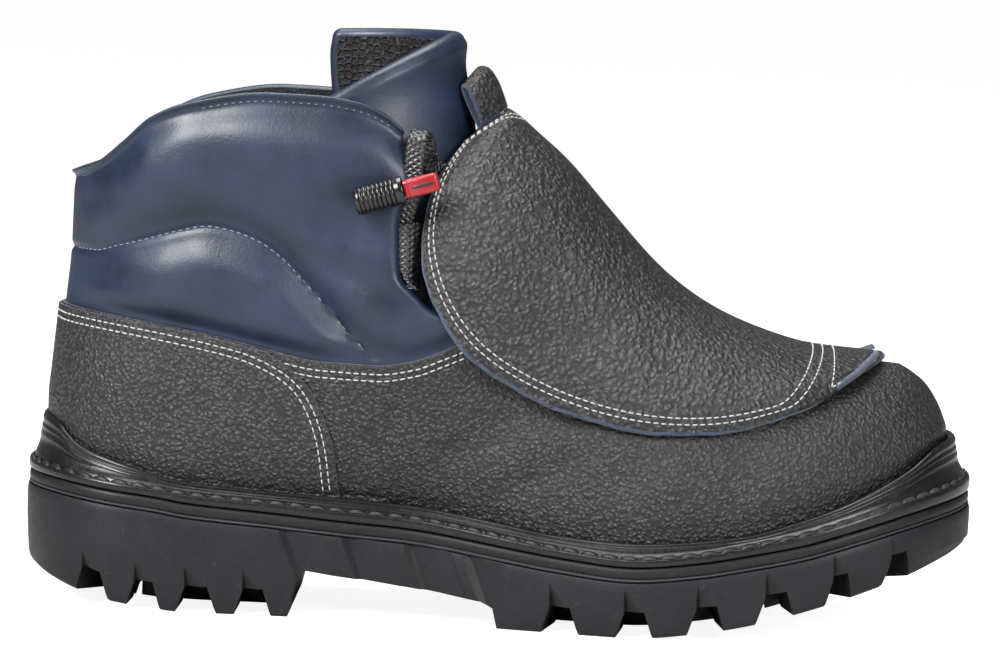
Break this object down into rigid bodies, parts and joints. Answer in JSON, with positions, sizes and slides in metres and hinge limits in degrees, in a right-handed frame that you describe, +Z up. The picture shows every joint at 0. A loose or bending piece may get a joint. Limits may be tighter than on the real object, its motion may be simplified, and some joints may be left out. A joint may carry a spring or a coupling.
{
  "type": "metatarsal guard boot",
  "caption": "Ankle-high leather work boot for the right foot with a lugged rubber sole, padded collar, high tongue and a leather flap guarding the instep.",
  "frame": {"origin": "on the ground under the middle lug of the heel, where the heel rests", "axes": "+X to the toe, +Y to the inner side of the right foot, +Z up"},
  "size_m": [0.312, 0.1127, 0.1882],
  "materials": {
    "outsole_rubber": "moulded, matt",
    "midsole_rubber": "satin",
    "welt_rubber": "semi-gloss",
    "insole_board": "matt",
    "upper_leather": "grained",
    "tongue_leather": "smooth",
    "guard_leather": "grained, semi-gloss",
    "lace_webbing": "braided",
    "lock_plastic": "moulded",
    "button_plastic": "moulded"
  },
  "bodies": {
    "root": {"outsole": "outsole_rubber", "midsole": "midsole_rubber", "storm_welt": "welt_rubber", "insole": "insole_board", "upper": "upper_leather", "tongue": "tongue_leather", "met_guard": "guard_leather", "pull_loop": "guard_leather", "lace": "lace_webbing", "lace_loop": "lace_webbing", "lace_keeper_outer": "lace_webbing", "lace_keeper_inner": "lace_webbing", "lace_lock_barrel": "lock_plastic", "lace_lock_button": "button_plastic"}
  },
  "joints": []
}
